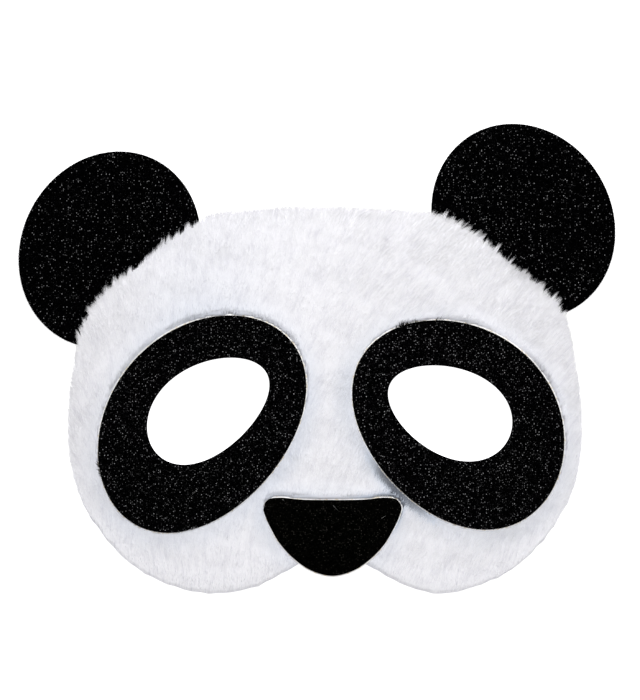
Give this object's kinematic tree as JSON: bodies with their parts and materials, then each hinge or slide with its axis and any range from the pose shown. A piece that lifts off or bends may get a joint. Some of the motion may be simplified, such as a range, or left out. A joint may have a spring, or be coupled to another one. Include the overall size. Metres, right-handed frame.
{
  "type": "panda half mask",
  "caption": "Arched plush half mask of a panda, with two round ears, oval eye patches round open eye holes, and a rounded nose.",
  "frame": {"origin": "on the table, under the middle of the whole mask's bounding box, with the mask lying on its back", "axes": "+X to the viewer's right across the face, +Y up the face towards the ears, +Z out of the face towards the viewer"},
  "size_m": [0.2032, 0.1604, 0.0344],
  "materials": {
    "white_plush": "short white plush with a soft, brushed pile",
    "black_flock": "black short-napped cloth with fine light specks",
    "black_felt": "smooth, matt black felt"
  },
  "bodies": {
    "root": {"plush_face": "white_plush", "nose": "black_felt", "eye_patch_left": "black_flock", "eye_patch_right": "black_flock", "ear_left": "black_flock", "ear_right": "black_flock"}
  },
  "joints": []
}
